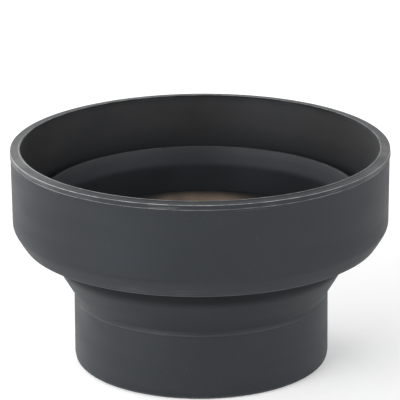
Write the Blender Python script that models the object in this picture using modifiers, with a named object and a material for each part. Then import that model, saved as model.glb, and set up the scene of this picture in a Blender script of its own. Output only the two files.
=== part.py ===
"""A three-position folding rubber lens hood, standing on its neck with the mouth up.

The rubber is one moulding in life. Here it is five rings that meet at its two living
hinges, so that the middle sleeve and the front barrel can slide along the optical axis
(Z) as the folds between them turn inside out. Two metal rings grip the neck from inside.

It is drawn half folded: the front barrel is folded back over the middle sleeve, and the
rear cone is out. Units are metres, Z is up, and the origin is at the centre of the
neck's bottom edge.
"""

import math

import bpy

MM = 0.001

# Turning and fitting
SEGMENTS = 64
GAP = 0.3 * MM
EDGE = 0.2 * MM
MERGE = 0.00001
SHARP_ANGLE = math.radians(35)

# Front barrel, measured to the axis and from the neck's bottom edge
RIM_TOP = 50.4 * MM
RIM_RADIUS = 43.0 * MM
RIM_LAND_WIDTH = 1.0 * MM
RIM_SLOPE_DROP = 0.3 * MM
RIM_BAND_BOTTOM = 49.0 * MM
RIM_BAND_STEP = 0.12 * MM
BARREL_INNER_RADIUS = 40.7 * MM
BARREL_FOOT_RADIUS = 42.78 * MM
BARREL_FOOT_TOP = 32.5 * MM
BARREL_FOOT_ROUND = 0.5 * MM
LIP_RADIUS = 40.42 * MM
LIP_TOP = 28.64 * MM
LIP_BOTTOM = 28.3 * MM
CREVICE_BOTTOM = 29.9 * MM
CREVICE_ROUND = 0.6 * MM

# Front fold: the thin skirt between the barrel's lip and the middle sleeve's crest
FRONT_HINGE_RADIUS = 39.3 * MM
FRONT_FOLD_THICKNESS = 1.05 * MM
CREST_TOP = 39.0 * MM
CREST_RADIUS = 36.6 * MM
CREST_ROUND_WIDTH = 0.15 * MM
CREST_ROUND_DROP = 0.5 * MM

# Middle sleeve
SLEEVE_RADIUS = 36.0 * MM
SLEEVE_INNER_RADIUS = 34.1 * MM
SLEEVE_CHAMFER_BOTTOM = 35.1 * MM
SLEEVE_BOTTOM = 28.2 * MM

# Neck sleeve
NECK_TOP = 15.3 * MM
NECK_RADIUS = 29.1 * MM
NECK_FOOT_RADIUS = 29.2 * MM
NECK_FOOT_ROUND = 1.4 * MM
NECK_FOOT_LAND = 28.3 * MM
NECK_INNER_RADIUS = 27.3 * MM
WEB_BOTTOM = 4.2 * MM
WEB_TOP = 5.8 * MM
WEB_RADIUS = 25.6 * MM

# Mount ring: thread M52 x 0.75, cut here as plain grooves of the same depth and pitch
THREAD_RADIUS = 26.0 * MM
THREAD_DEPTH = 0.46 * MM
THREAD_PITCH = 0.75 * MM
THREAD_TURNS = 3
THREAD_START = 0.52 * MM
RELIEF_RADIUS = 26.1 * MM
RELIEF_DEPTH = 0.25 * MM
SEAT_HEIGHT = 3.0 * MM
FLANGE_RADIUS = NECK_INNER_RADIUS - GAP
MOUNT_BORE_RADIUS = 24.2 * MM
MOUNT_TUBE_RADIUS = WEB_RADIUS - GAP
MOUNT_TOP = 8.7 * MM

# Clamp ring: holds the rubber web down on the mount ring's flange
CLAMP_RADIUS = 26.9 * MM
CLAMP_HEIGHT = 2.0 * MM
SPANNER_SLOT_WIDTH = 2.4 * MM
SPANNER_SLOT_DEPTH = 0.8 * MM
CUTTER_LENGTH = 80.0 * MM

# Finishes
RUBBER_COLOUR = (0.052, 0.056, 0.066, 1.0)
RUBBER_ROUGHNESS = 0.62
METAL_COLOUR = (0.022, 0.022, 0.024, 1.0)
METAL_ROUGHNESS = 0.4
METAL_METALLIC = 0.85


def clear_scene():
    """Removes every object that the scene starts with."""
    for thing in list(bpy.data.objects):
        bpy.data.objects.remove(thing, do_unlink=True)


def new_collection(name):
    """A collection linked under the scene."""
    group = bpy.data.collections.new(name)
    bpy.context.scene.collection.children.link(group)
    return group


def new_material(name, colour, roughness, metallic):
    """A Principled material with one colour."""
    material = bpy.data.materials.new(name)
    material.use_nodes = True
    shader = material.node_tree.nodes["Principled BSDF"]
    shader.inputs["Base Color"].default_value = colour
    shader.inputs["Roughness"].default_value = roughness
    shader.inputs["Metallic"].default_value = metallic
    return material


def new_slide(group, name, height, parent=None):
    """An empty on the optical axis that carries the pieces of one sliding body."""
    empty = bpy.data.objects.new(name, None)
    group.objects.link(empty)
    empty.parent = parent
    empty.location.z = height - (parent.location.z if parent else 0.0)
    return empty


def arc(centre, radius, start_deg, end_deg, steps):
    """Points (r, z) on an arc in the profile plane, both ends included."""
    points = []
    for step in range(steps + 1):
        angle = math.radians(start_deg + (end_deg - start_deg) * step / steps)
        points.append(
            (centre[0] + radius * math.cos(angle), centre[1] + radius * math.sin(angle))
        )
    return points


def turned_ring(group, name, profile, material, base, carrier=None, carrier_height=0.0):
    """A ring turned about Z from a closed profile of (r, z) points.

    The profile runs out along the top, down the outer side, in along the bottom and up
    the inner side. The object's origin lies on the axis at the height base.
    """
    mesh = bpy.data.meshes.new(name)
    vertices = [(r, 0.0, z - base) for r, z in profile]
    edges = [(i, (i + 1) % len(vertices)) for i in range(len(vertices))]
    mesh.from_pydata(vertices, edges, [])
    ring = bpy.data.objects.new(name, mesh)
    group.objects.link(ring)
    ring.data.materials.append(material)
    ring.parent = carrier
    ring.location.z = base - carrier_height
    screw = ring.modifiers.new("Turn", "SCREW")
    screw.axis = "Z"
    screw.angle = 2 * math.pi
    screw.steps = SEGMENTS
    screw.render_steps = SEGMENTS
    screw.use_merge_vertices = True
    screw.merge_threshold = MERGE
    screw.use_smooth_shade = True
    bake(ring)
    ring.data.shade_smooth()
    ring.data.set_sharp_from_angle(angle=SHARP_ANGLE)
    return ring


def bake(thing):
    """Replaces an object's mesh with what its modifiers make of it."""
    bpy.context.view_layer.update()
    evaluated = thing.evaluated_get(bpy.context.evaluated_depsgraph_get())
    mesh = bpy.data.meshes.new_from_object(evaluated)
    thing.modifiers.clear()
    thing.data = mesh


def front_barrel_profile():
    """The wide front barrel, its rim lip at the top and its folded lip at the bottom."""
    wall_top = RIM_RADIUS - RIM_BAND_STEP
    hinge_side = FRONT_HINGE_RADIUS + GAP / 2
    land_inner = BARREL_INNER_RADIUS + EDGE
    return [
        (land_inner, RIM_TOP),
        (land_inner + RIM_LAND_WIDTH, RIM_TOP),
        (RIM_RADIUS - EDGE, RIM_TOP - RIM_SLOPE_DROP),
        (RIM_RADIUS, RIM_TOP - RIM_SLOPE_DROP - EDGE),
        (RIM_RADIUS, RIM_BAND_BOTTOM),
        (wall_top, RIM_BAND_BOTTOM - RIM_BAND_STEP),
        (BARREL_FOOT_RADIUS, BARREL_FOOT_TOP),
        (BARREL_FOOT_RADIUS - EDGE, BARREL_FOOT_TOP - BARREL_FOOT_ROUND),
        (LIP_RADIUS, LIP_TOP),
        (LIP_RADIUS - (LIP_TOP - LIP_BOTTOM), LIP_BOTTOM),
        (hinge_side, LIP_BOTTOM),
        (hinge_side, CREVICE_BOTTOM),
        (BARREL_INNER_RADIUS - CREVICE_ROUND, CREVICE_BOTTOM),
        (BARREL_INNER_RADIUS, CREVICE_BOTTOM + CREVICE_ROUND),
        (BARREL_INNER_RADIUS, RIM_TOP - EDGE),
    ]


def front_fold_profile():
    """The skirt that hangs from the crest down to the barrel's lip."""
    cut = SLEEVE_RADIUS + GAP / 2
    outer_foot = FRONT_HINGE_RADIUS - GAP / 2
    inner_foot = outer_foot - FRONT_FOLD_THICKNESS
    shoulder = CREST_TOP - CREST_ROUND_DROP
    lean = (outer_foot - CREST_RADIUS) / (shoulder - CREVICE_BOTTOM)
    apex = CREVICE_BOTTOM + (inner_foot - cut) / lean
    return [
        (cut, CREST_TOP),
        (CREST_RADIUS - CREST_ROUND_WIDTH, CREST_TOP - CREST_ROUND_WIDTH),
        (CREST_RADIUS, shoulder),
        (outer_foot, CREVICE_BOTTOM),
        (outer_foot, LIP_BOTTOM),
        (inner_foot, LIP_BOTTOM),
        (inner_foot, CREVICE_BOTTOM),
        (cut, apex),
    ]


def middle_sleeve_profile():
    """The middle sleeve, chamfered inside from its crest."""
    outer = SLEEVE_RADIUS - GAP / 2
    bottom = SLEEVE_BOTTOM + GAP / 2
    return [
        (outer, CREST_TOP),
        (outer, bottom),
        (SLEEVE_INNER_RADIUS, bottom),
        (SLEEVE_INNER_RADIUS, SLEEVE_CHAMFER_BOTTOM),
        (outer - EDGE, CREST_TOP - EDGE),
    ]


def rear_fold_profile():
    """The cone between the middle sleeve and the neck."""
    top = SLEEVE_BOTTOM - GAP / 2
    bottom = NECK_TOP + GAP / 2
    return [
        (SLEEVE_INNER_RADIUS, top),
        (SLEEVE_RADIUS - GAP / 2, top),
        (NECK_RADIUS, bottom),
        (NECK_INNER_RADIUS, bottom),
    ]


def neck_sleeve_profile():
    """The neck, with the inner web that the metal rings clamp."""
    top = NECK_TOP - GAP / 2
    foot_width = NECK_FOOT_RADIUS - NECK_FOOT_LAND
    foot = []
    for r, z in arc((0.0, 0.0), 1.0, 0, -90, 3):
        foot.append((NECK_FOOT_LAND + foot_width * r, NECK_FOOT_ROUND * (1.0 + z)))
    return [
        (NECK_INNER_RADIUS, top),
        (NECK_RADIUS, top),
        *foot,
        (NECK_INNER_RADIUS + EDGE, 0.0),
        (NECK_INNER_RADIUS, EDGE),
        (NECK_INNER_RADIUS, WEB_BOTTOM),
        (WEB_RADIUS, WEB_BOTTOM),
        (WEB_RADIUS, WEB_TOP),
        (NECK_INNER_RADIUS, WEB_TOP),
    ]


def mount_ring_profile():
    """The mount ring: tube above, seat flange, relief groove, and the thread below."""
    root = THREAD_RADIUS - THREAD_DEPTH
    relief_top = SEAT_HEIGHT + RELIEF_DEPTH
    thread = [(RELIEF_RADIUS, SEAT_HEIGHT), (RELIEF_RADIUS, relief_top), (root, relief_top)]
    for turn in range(THREAD_TURNS):
        crest = SEAT_HEIGHT - THREAD_START - turn * THREAD_PITCH
        thread.append((THREAD_RADIUS, crest))
        thread.append((root, crest - THREAD_PITCH / 2))
    bottom = thread[-1][1]
    return [
        (MOUNT_BORE_RADIUS + EDGE, MOUNT_TOP),
        (MOUNT_TUBE_RADIUS - EDGE, MOUNT_TOP),
        (MOUNT_TUBE_RADIUS, MOUNT_TOP - EDGE),
        (MOUNT_TUBE_RADIUS, WEB_BOTTOM - GAP),
        (FLANGE_RADIUS, WEB_BOTTOM - GAP),
        (FLANGE_RADIUS, SEAT_HEIGHT),
        *thread,
        (MOUNT_BORE_RADIUS + EDGE, bottom),
        (MOUNT_BORE_RADIUS, bottom + EDGE),
        (MOUNT_BORE_RADIUS, MOUNT_TOP - EDGE),
    ]


def clamp_ring_profile():
    """The clamp ring before its spanner slots are cut."""
    bottom = WEB_TOP + GAP
    top = bottom + CLAMP_HEIGHT
    inner = MOUNT_TUBE_RADIUS + GAP
    return [
        (inner, top),
        (CLAMP_RADIUS - EDGE, top),
        (CLAMP_RADIUS, top - EDGE),
        (CLAMP_RADIUS, bottom),
        (inner, bottom),
    ]


def cut_spanner_slots(ring, cutters):
    """Cuts one straight slot across the top of the clamp ring, which opens it at two sides."""
    top = WEB_TOP + GAP + CLAMP_HEIGHT
    bpy.ops.mesh.primitive_cube_add(size=1.0, location=(0.0, 0.0, top))
    cutter = bpy.context.object
    cutter.name = "spanner_slot_cutter"
    cutter.scale = (CUTTER_LENGTH, SPANNER_SLOT_WIDTH, 2 * SPANNER_SLOT_DEPTH)
    for group in list(cutter.users_collection):
        group.objects.unlink(cutter)
    cutters.objects.link(cutter)
    cutter.hide_render = True
    cutter.display_type = "WIRE"
    slots = ring.modifiers.new("Spanner slots", "BOOLEAN")
    slots.operation = "DIFFERENCE"
    slots.solver = "EXACT"
    slots.object = cutter


def build():
    """Makes every piece of the hood."""
    clear_scene()
    hood = new_collection("lens_hood")
    cutters = new_collection("cutters")
    rubber = {}
    for zone in ("barrel", "front_fold", "sleeve", "rear_fold", "neck"):
        rubber[zone] = new_material(zone + "_rubber", RUBBER_COLOUR, RUBBER_ROUGHNESS, 0.0)
    metal = {}
    for ring in ("mount", "clamp"):
        metal[ring] = new_material(
            ring + "_anodised_aluminium", METAL_COLOUR, METAL_ROUGHNESS, METAL_METALLIC
        )
    middle = new_slide(hood, "middle_slide", SLEEVE_BOTTOM)
    front = new_slide(hood, "front_slide", CREST_TOP, middle)

    turned_ring(hood, "neck_sleeve", neck_sleeve_profile(), rubber["neck"], 0.0)
    turned_ring(hood, "rear_fold", rear_fold_profile(), rubber["rear_fold"], NECK_TOP)
    turned_ring(
        hood, "middle_sleeve", middle_sleeve_profile(), rubber["sleeve"],
        SLEEVE_BOTTOM, middle, SLEEVE_BOTTOM,
    )
    turned_ring(
        hood, "front_fold", front_fold_profile(), rubber["front_fold"],
        CREST_TOP, middle, SLEEVE_BOTTOM,
    )
    turned_ring(
        hood, "front_barrel", front_barrel_profile(), rubber["barrel"],
        LIP_BOTTOM, front, CREST_TOP,
    )
    turned_ring(hood, "mount_ring", mount_ring_profile(), metal["mount"], 0.0)
    clamp = turned_ring(hood, "clamp_ring", clamp_ring_profile(), metal["clamp"], WEB_TOP)
    cut_spanner_slots(clamp, cutters)


build()
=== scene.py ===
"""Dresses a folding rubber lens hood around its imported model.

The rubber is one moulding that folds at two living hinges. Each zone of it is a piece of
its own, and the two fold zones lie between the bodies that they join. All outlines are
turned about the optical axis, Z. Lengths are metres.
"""

import logging
import math
from dataclasses import dataclass, field, replace
from enum import Enum

import bmesh
import bpy
import numpy as np
from mathutils import Matrix, Vector


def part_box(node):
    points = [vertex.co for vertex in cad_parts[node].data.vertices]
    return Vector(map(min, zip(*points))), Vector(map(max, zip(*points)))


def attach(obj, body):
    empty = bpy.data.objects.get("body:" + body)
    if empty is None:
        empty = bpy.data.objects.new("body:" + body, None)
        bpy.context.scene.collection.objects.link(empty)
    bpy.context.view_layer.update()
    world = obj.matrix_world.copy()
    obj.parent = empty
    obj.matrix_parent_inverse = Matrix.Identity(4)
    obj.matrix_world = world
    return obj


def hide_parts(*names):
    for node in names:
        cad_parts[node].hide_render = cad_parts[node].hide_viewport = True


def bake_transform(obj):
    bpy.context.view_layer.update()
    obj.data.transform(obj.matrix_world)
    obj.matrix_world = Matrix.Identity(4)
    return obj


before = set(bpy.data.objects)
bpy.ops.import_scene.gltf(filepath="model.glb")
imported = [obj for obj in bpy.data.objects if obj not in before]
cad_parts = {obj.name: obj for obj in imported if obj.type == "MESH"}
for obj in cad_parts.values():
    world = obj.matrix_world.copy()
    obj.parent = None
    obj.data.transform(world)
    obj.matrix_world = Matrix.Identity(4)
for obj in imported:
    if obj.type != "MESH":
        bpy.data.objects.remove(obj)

LOG = logging.getLogger("lens_hood")
MM = 0.001
WHITE = (1.0, 1.0, 1.0, 1.0)

Colour = tuple[float, float, float, float]
Piece = bpy.types.Object
Socket = bpy.types.NodeSocket


class Body(Enum):
    """The bodies that slide along the optical axis."""

    NECK = "root"
    SLEEVE = "middle"
    BARREL = "front"


class Slot(Enum):
    """The record's material slots."""

    RUBBER = "rubber"
    FOLD_RUBBER = "fold_rubber"
    METAL = "anodised_metal"


# ---------------------------------------------------------------- outlines


@dataclass(frozen=True)
class Corner:
    """One corner of an outline, or one ring of points of the piece turned from it.

    Attributes:
        r: Distance from the axis.
        z: Height above the foot edge.
        fillet: Radius that rounds the corner.
        wear_and_highlight: How rubbed the corner is, with the painted highlights on the fold
            crests and the neck crease, from 0 to 1.
        flash: How far the ragged mould flash stands out there.
        scuff: How streaked by handling the surface is, from 0 to 1.
        film: How strong the painted sheen is there, which is paler on the left and right sides,
            from 0 to 1.
        bloom: How much painted warm light the surface has there, from 0 to 1.
        shelter: How dark the painted shade makes the rubber there, from 0 to 1.
    """

    r: float
    z: float
    fillet: float = 0.0
    wear_and_highlight: float = 0.0
    flash: float = 0.0
    scuff: float = 0.0
    film: float = 0.0
    bloom: float = 0.0
    shelter: float = 0.0


SPREAD_ALONG = ("r", "z", "scuff", "film", "bloom", "shelter")
# What runs evenly from one corner to the next. Wear with its painted highlights, and flash, stay
# at their corners.
"""What runs evenly from one corner to the next. Wear and flash stay at their corners."""


@dataclass
class Outline:
    """A closed outline in the (r, z) plane.

    It runs out along the top, down the outer side, in along the bottom and up the inner
    side.

    Attributes:
        corners: The corners in order.
        longest: The longest stretch that is left undivided.
        turn_step: The largest turn between two points of a fillet, in degrees.
        wear_and_highlight_spread: How far wear and painted highlights reach from their corner
            along a straight side.
        most_of_side: The largest share of a side that one fillet may take.
    """

    corners: list[Corner]
    longest: float = 1.0 * MM
    turn_step: float = 11.0
    wear_and_highlight_spread: float = 0.08 * MM
    most_of_side: float = 0.49

    def rows(self) -> list[Corner]:
        """Rounds every corner and divides the long sides.

        Returns:
            The rows of the closed outline, in order.
        """
        stops: list[list[Corner]] = []
        count = len(self.corners)
        for i, corner in enumerate(self.corners):
            before = self.corners[i - 1]
            after = self.corners[(i + 1) % count]
            stops.append(self._rounded(before, corner, after))
        rows: list[Corner] = []
        for i, stop in enumerate(stops):
            rows.extend(stop)
            rows.extend(self._divided(stop[-1], stops[(i + 1) % count][0]))
        return rows

    def _rounded(self, before: Corner, corner: Corner, after: Corner) -> list[Corner]:
        """The rows that round one corner.

        Args:
            before: The corner before it.
            corner: The corner itself.
            after: The corner after it.

        Returns:
            One row for a sharp corner, or the rows of its arc.
        """
        here = Vector((corner.r, corner.z))
        back = Vector((before.r, before.z)) - here
        ahead = Vector((after.r, after.z)) - here
        if corner.fillet <= 0.0:
            return [self._row(here, corner, 1.0)]
        back_way, ahead_way = back.normalized(), ahead.normalized()
        inner = math.acos(max(-1.0, min(1.0, back_way.dot(ahead_way))))
        reach = corner.fillet / math.tan(inner / 2)
        reach = min(reach, self.most_of_side * back.length, self.most_of_side * ahead.length)
        start, end = here + back_way * reach, here + ahead_way * reach
        steps = max(2, math.ceil(math.degrees(math.pi - inner) / self.turn_step))
        rows = []
        for step in range(steps + 1):
            t = step / steps
            place = self._conic(start, here, end, t, math.sin(inner / 2))
            rows.append(self._row(place, corner, max(0.0, math.sin(math.pi * t)) ** 0.5))
        return rows

    @staticmethod
    def _conic(start: Vector, corner: Vector, end: Vector, t: float, middle: float) -> Vector:
        """A point of the circular arc that joins two tangent points, as a rational curve.

        Args:
            start: Where the arc leaves the first side.
            corner: Where the two sides would meet.
            end: Where the arc joins the second side.
            t: How far along the arc, from 0 to 1.
            middle: The weight of the middle point, which makes the curve circular.

        Returns:
            The point.
        """
        a, b, c = (1 - t) ** 2, 2 * t * (1 - t) * middle, t * t
        return (start * a + corner * b + end * c) / (a + b + c)

    @staticmethod
    def _row(place: Vector, corner: Corner, share: float) -> Corner:
        """A row with a share of its corner's wear, painted highlight and flash."""
        wear_and_highlight, flash = corner.wear_and_highlight * share, corner.flash * share
        return replace(corner, r=place.x, z=place.y, wear_and_highlight=wear_and_highlight, flash=flash)

    def _divided(self, start: Corner, end: Corner) -> list[Corner]:
        """The rows between two stops.

        Args:
            start: The row before them.
            end: The row after them.

        Returns:
            Evenly spaced rows, and one close to each end with wear, a painted highlight or flash,
            without the ends.
        """
        length = math.hypot(end.r - start.r, end.z - start.z)
        pieces = max(1, math.ceil(length / self.longest))
        shares = {k / pieces for k in range(1, pieces)}
        if length > 4 * self.wear_and_highlight_spread:
            if start.wear_and_highlight or start.flash:
                shares.add(self.wear_and_highlight_spread / length)
            if end.wear_and_highlight or end.flash:
                shares.add(1 - self.wear_and_highlight_spread / length)
        rows = []
        for t in sorted(shares):
            between = {
                key: getattr(start, key) + (getattr(end, key) - getattr(start, key)) * t
                for key in SPREAD_ALONG
            }
            rows.append(Corner(**between))
        return rows


# ---------------------------------------------------------------- turning


@dataclass(frozen=True)
class Waver:
    """The slight out-of-round of soft rubber, which grows away from the metal ring.

    Attributes:
        waves: (lobes, size, phase) of each wave round the hood.
        full_height: The height where the waves have their full size.
        twist: How far the waves turn as they rise, in radians for each metre.
    """

    waves: tuple[tuple[int, float, float], ...] = (
        (2, 0.055 * MM, 0.7),
        (3, 0.035 * MM, 2.1),
        (5, 0.018 * MM, 4.0),
        (9, 0.008 * MM, 1.3),
    )
    full_height: float = 50.0 * MM
    twist: float = 18.0

    def shift(self, angles: np.ndarray, heights: np.ndarray) -> np.ndarray:
        """How far each point moves outwards.

        Args:
            angles: Angle of each point about the axis.
            heights: Height of each point.

        Returns:
            The shifts, in metres.
        """
        total = np.zeros_like(angles)
        for lobes, size, phase in self.waves:
            total += size * np.cos(lobes * angles + phase + heights * self.twist)
        return total * np.clip(heights / self.full_height, 0.0, 1.0) ** 2


@dataclass(frozen=True)
class Flash:
    """Thin ragged rubber left where the mould's halves met.

    Attributes:
        seed: Picks where it is ragged.
        waves: How many waves round the hood make its edge.
        fade: How much weaker the finer waves are.
        mean: The share that the trimming leaves on average.
        swing: How much that share varies.
        least: The share that is left everywhere.
    """

    seed: int = 11
    waves: int = 42
    fade: float = 0.35
    mean: float = 0.55
    swing: float = 0.9
    least: float = 0.05

    def height(self, angles: np.ndarray) -> np.ndarray:
        """How much of the flash is left at each angle, from 0 to 1.

        Args:
            angles: Angles about the axis.

        Returns:
            The share left after trimming.
        """
        chance = np.random.default_rng(self.seed)
        total = np.zeros_like(angles)
        for k in range(1, self.waves):
            total += np.cos(k * angles + chance.uniform(0, 2 * math.pi)) / k**self.fade
        total /= np.abs(total).max()
        return np.clip(self.mean + self.swing * total, self.least, 1.0)


def turn_between(angles: np.ndarray, middle: float) -> np.ndarray:
    """How far each angle is from a middle one, in degrees.

    Args:
        angles: Angles about the axis, in radians.
        middle: The middle angle, in degrees.

    Returns:
        The turns, from 0 to 180.
    """
    return np.degrees(np.abs(np.angle(np.exp(1j * (angles - math.radians(middle))))))


@dataclass(frozen=True)
class Rub:
    """How handling has rubbed some sides of the hood more than the others, and where the painted
    sheen lies.

    Attributes:
        side: The angle of the most worn side, in degrees.
        uneven: How much less the far side is worn, from 0 to 1.
        painted_sheen_sides: The angles of the left and right sides that carry the painted sheen,
            in degrees.
        painted_sheen_width: How far the painted sheen spreads from each of those sides, in
            degrees.
    """

    side: float = 205.0
    uneven: float = 0.18
    painted_sheen_sides: tuple[float, ...] = (196.0, 352.0)
    painted_sheen_width: float = 26.0

    def worn_and_highlight(self, angles: np.ndarray) -> np.ndarray:
        """How strongly the wear and painted highlights show at each angle, from 1 - 2 * uneven to
        1.
        """
        return 1 - self.uneven + self.uneven * np.cos(angles - math.radians(self.side))

    def painted_sheen_share(self, angles: np.ndarray) -> np.ndarray:
        """How much of the painted sheen each angle has, from 0 to 1.

        Args:
            angles: Angles about the axis.

        Returns:
            The shares, near 1 at the left and right sides.
        """
        total = np.zeros_like(angles)
        for painted_sheen_side in self.painted_sheen_sides:
            total += np.exp(-((turn_between(angles, painted_sheen_side) / self.painted_sheen_width) ** 2))
        return np.clip(total, 0.0, 1.0)


@dataclass
class Turner:
    """Makes closed meshes by turning outlines about the optical axis.

    Attributes:
        segments: Points round the axis.
        sharp_angle: Edges steeper than this stay crisp, in degrees.
        waver: The out-of-round given to rubber.
        flash: The ragged flash at the mould lines.
        rub: Where handling has rubbed the hood, and where the painted sheen lies.
    """

    segments: int = 288
    sharp_angle: float = 42.0
    waver: Waver = field(default_factory=Waver)
    flash: Flash = field(default_factory=Flash)
    rub: Rub = field(default_factory=Rub)

    def rubber(self, name: str, outline: Outline) -> Piece:
        """Turns a rubber piece, with its waver and flash.

        Args:
            name: The piece's name.
            outline: Its closed outline.

        Returns:
            The new object.
        """
        rows = outline.rows()
        angles, radii, heights = self.grid(rows)
        trimmed = self.flash.height(angles)
        stand_out = np.array([row.flash for row in rows])[None, :] * trimmed
        radii = radii + self.waver.shift(angles, heights) + stand_out
        return self.solid(name, rows, angles, radii, heights)

    def rigid(self, name: str, outline: Outline) -> Piece:
        """Turns a metal piece, perfectly round."""
        rows = outline.rows()
        return self.solid(name, rows, *self.grid(rows))

    def grid(self, rows: list[Corner]) -> tuple[np.ndarray, np.ndarray, np.ndarray]:
        """The (angle, radius, height) of every point before any shaping.

        Args:
            rows: The outline's rows.

        Returns:
            Three arrays with a line for each segment and a column for each row.
        """
        turn = np.arange(self.segments) * (2 * math.pi / self.segments)
        shape = (self.segments, len(rows))
        angles = np.broadcast_to(turn[:, None], shape).copy()
        radii = np.broadcast_to(np.array([row.r for row in rows])[None, :], shape).copy()
        heights = np.broadcast_to(np.array([row.z for row in rows])[None, :], shape).copy()
        return angles, radii, heights

    def solid(
        self,
        name: str,
        rows: list[Corner],
        angles: np.ndarray,
        radii: np.ndarray,
        heights: np.ndarray,
    ) -> Piece:
        """Joins a grid of points into one closed ring.

        Args:
            name: The piece's name.
            rows: The outline's rows, for what is painted on them.
            angles: Angle of every point.
            radii: Radius of every point.
            heights: Height of every point.

        Returns:
            The new object, linked to the scene.
        """
        around, along = angles.shape
        places = np.stack([radii * np.cos(angles), radii * np.sin(angles), heights], axis=-1)
        i, j = np.meshgrid(np.arange(around), np.arange(along), indexing="ij")
        next_i, next_j = (i + 1) % around, (j + 1) % along
        faces = np.stack(
            [i * along + j, i * along + next_j, next_i * along + next_j, next_i * along + j],
            axis=-1,
        ).reshape(-1, 4)
        mesh = bpy.data.meshes.new(name)
        mesh.from_pydata(places.reshape(-1, 3).tolist(), [], faces.tolist())
        mesh.update()
        # Wear with its painted highlights, and scuffs, are strongest on the rubbed side; the
        # painted sheen lies on the left and right sides; painted warm light and painted shade are
        # even all round.
        worn_and_highlight, painted_sheen_share = self.rub.worn_and_highlight(angles), self.rub.painted_sheen_share(angles)
        shares = {"wear_and_highlight": worn_and_highlight, "scuff": worn_and_highlight, "film": painted_sheen_share, "bloom": 1.0, "shelter": 1.0}
        for label, share in shares.items():
            values = np.array([getattr(row, label) for row in rows])
            paint(mesh, label, (values[None, :] * share * np.ones((around, 1))).ravel())
        piece = bpy.data.objects.new(name, mesh)
        bpy.context.scene.collection.objects.link(piece)
        keep_rest(mesh)
        mesh.shade_smooth()
        mesh.set_sharp_from_angle(angle=math.radians(self.sharp_angle))
        return piece


def paint(mesh: bpy.types.Mesh, label: str, values: np.ndarray) -> None:
    """Stores one number for each vertex, which the finishes read by its label.

    Args:
        mesh: The mesh.
        label: The attribute's name.
        values: One value for each vertex.
    """
    layer = mesh.attributes.get(label) or mesh.attributes.new(label, "FLOAT", "POINT")
    layer.data.foreach_set("value", np.ascontiguousarray(values, np.float32))


def keep_rest(mesh: bpy.types.Mesh) -> None:
    """Stores where each vertex is at rest, so that a finish stays put on a moving fold.

    Args:
        mesh: The mesh.
    """
    places = np.zeros(len(mesh.vertices) * 3, np.float32)
    mesh.vertices.foreach_get("co", places)
    layer = mesh.attributes.get("rest") or mesh.attributes.new("rest", "FLOAT_VECTOR", "POINT")
    layer.data.foreach_set("vector", places)


# ---------------------------------------------------------------- finishes


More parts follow.
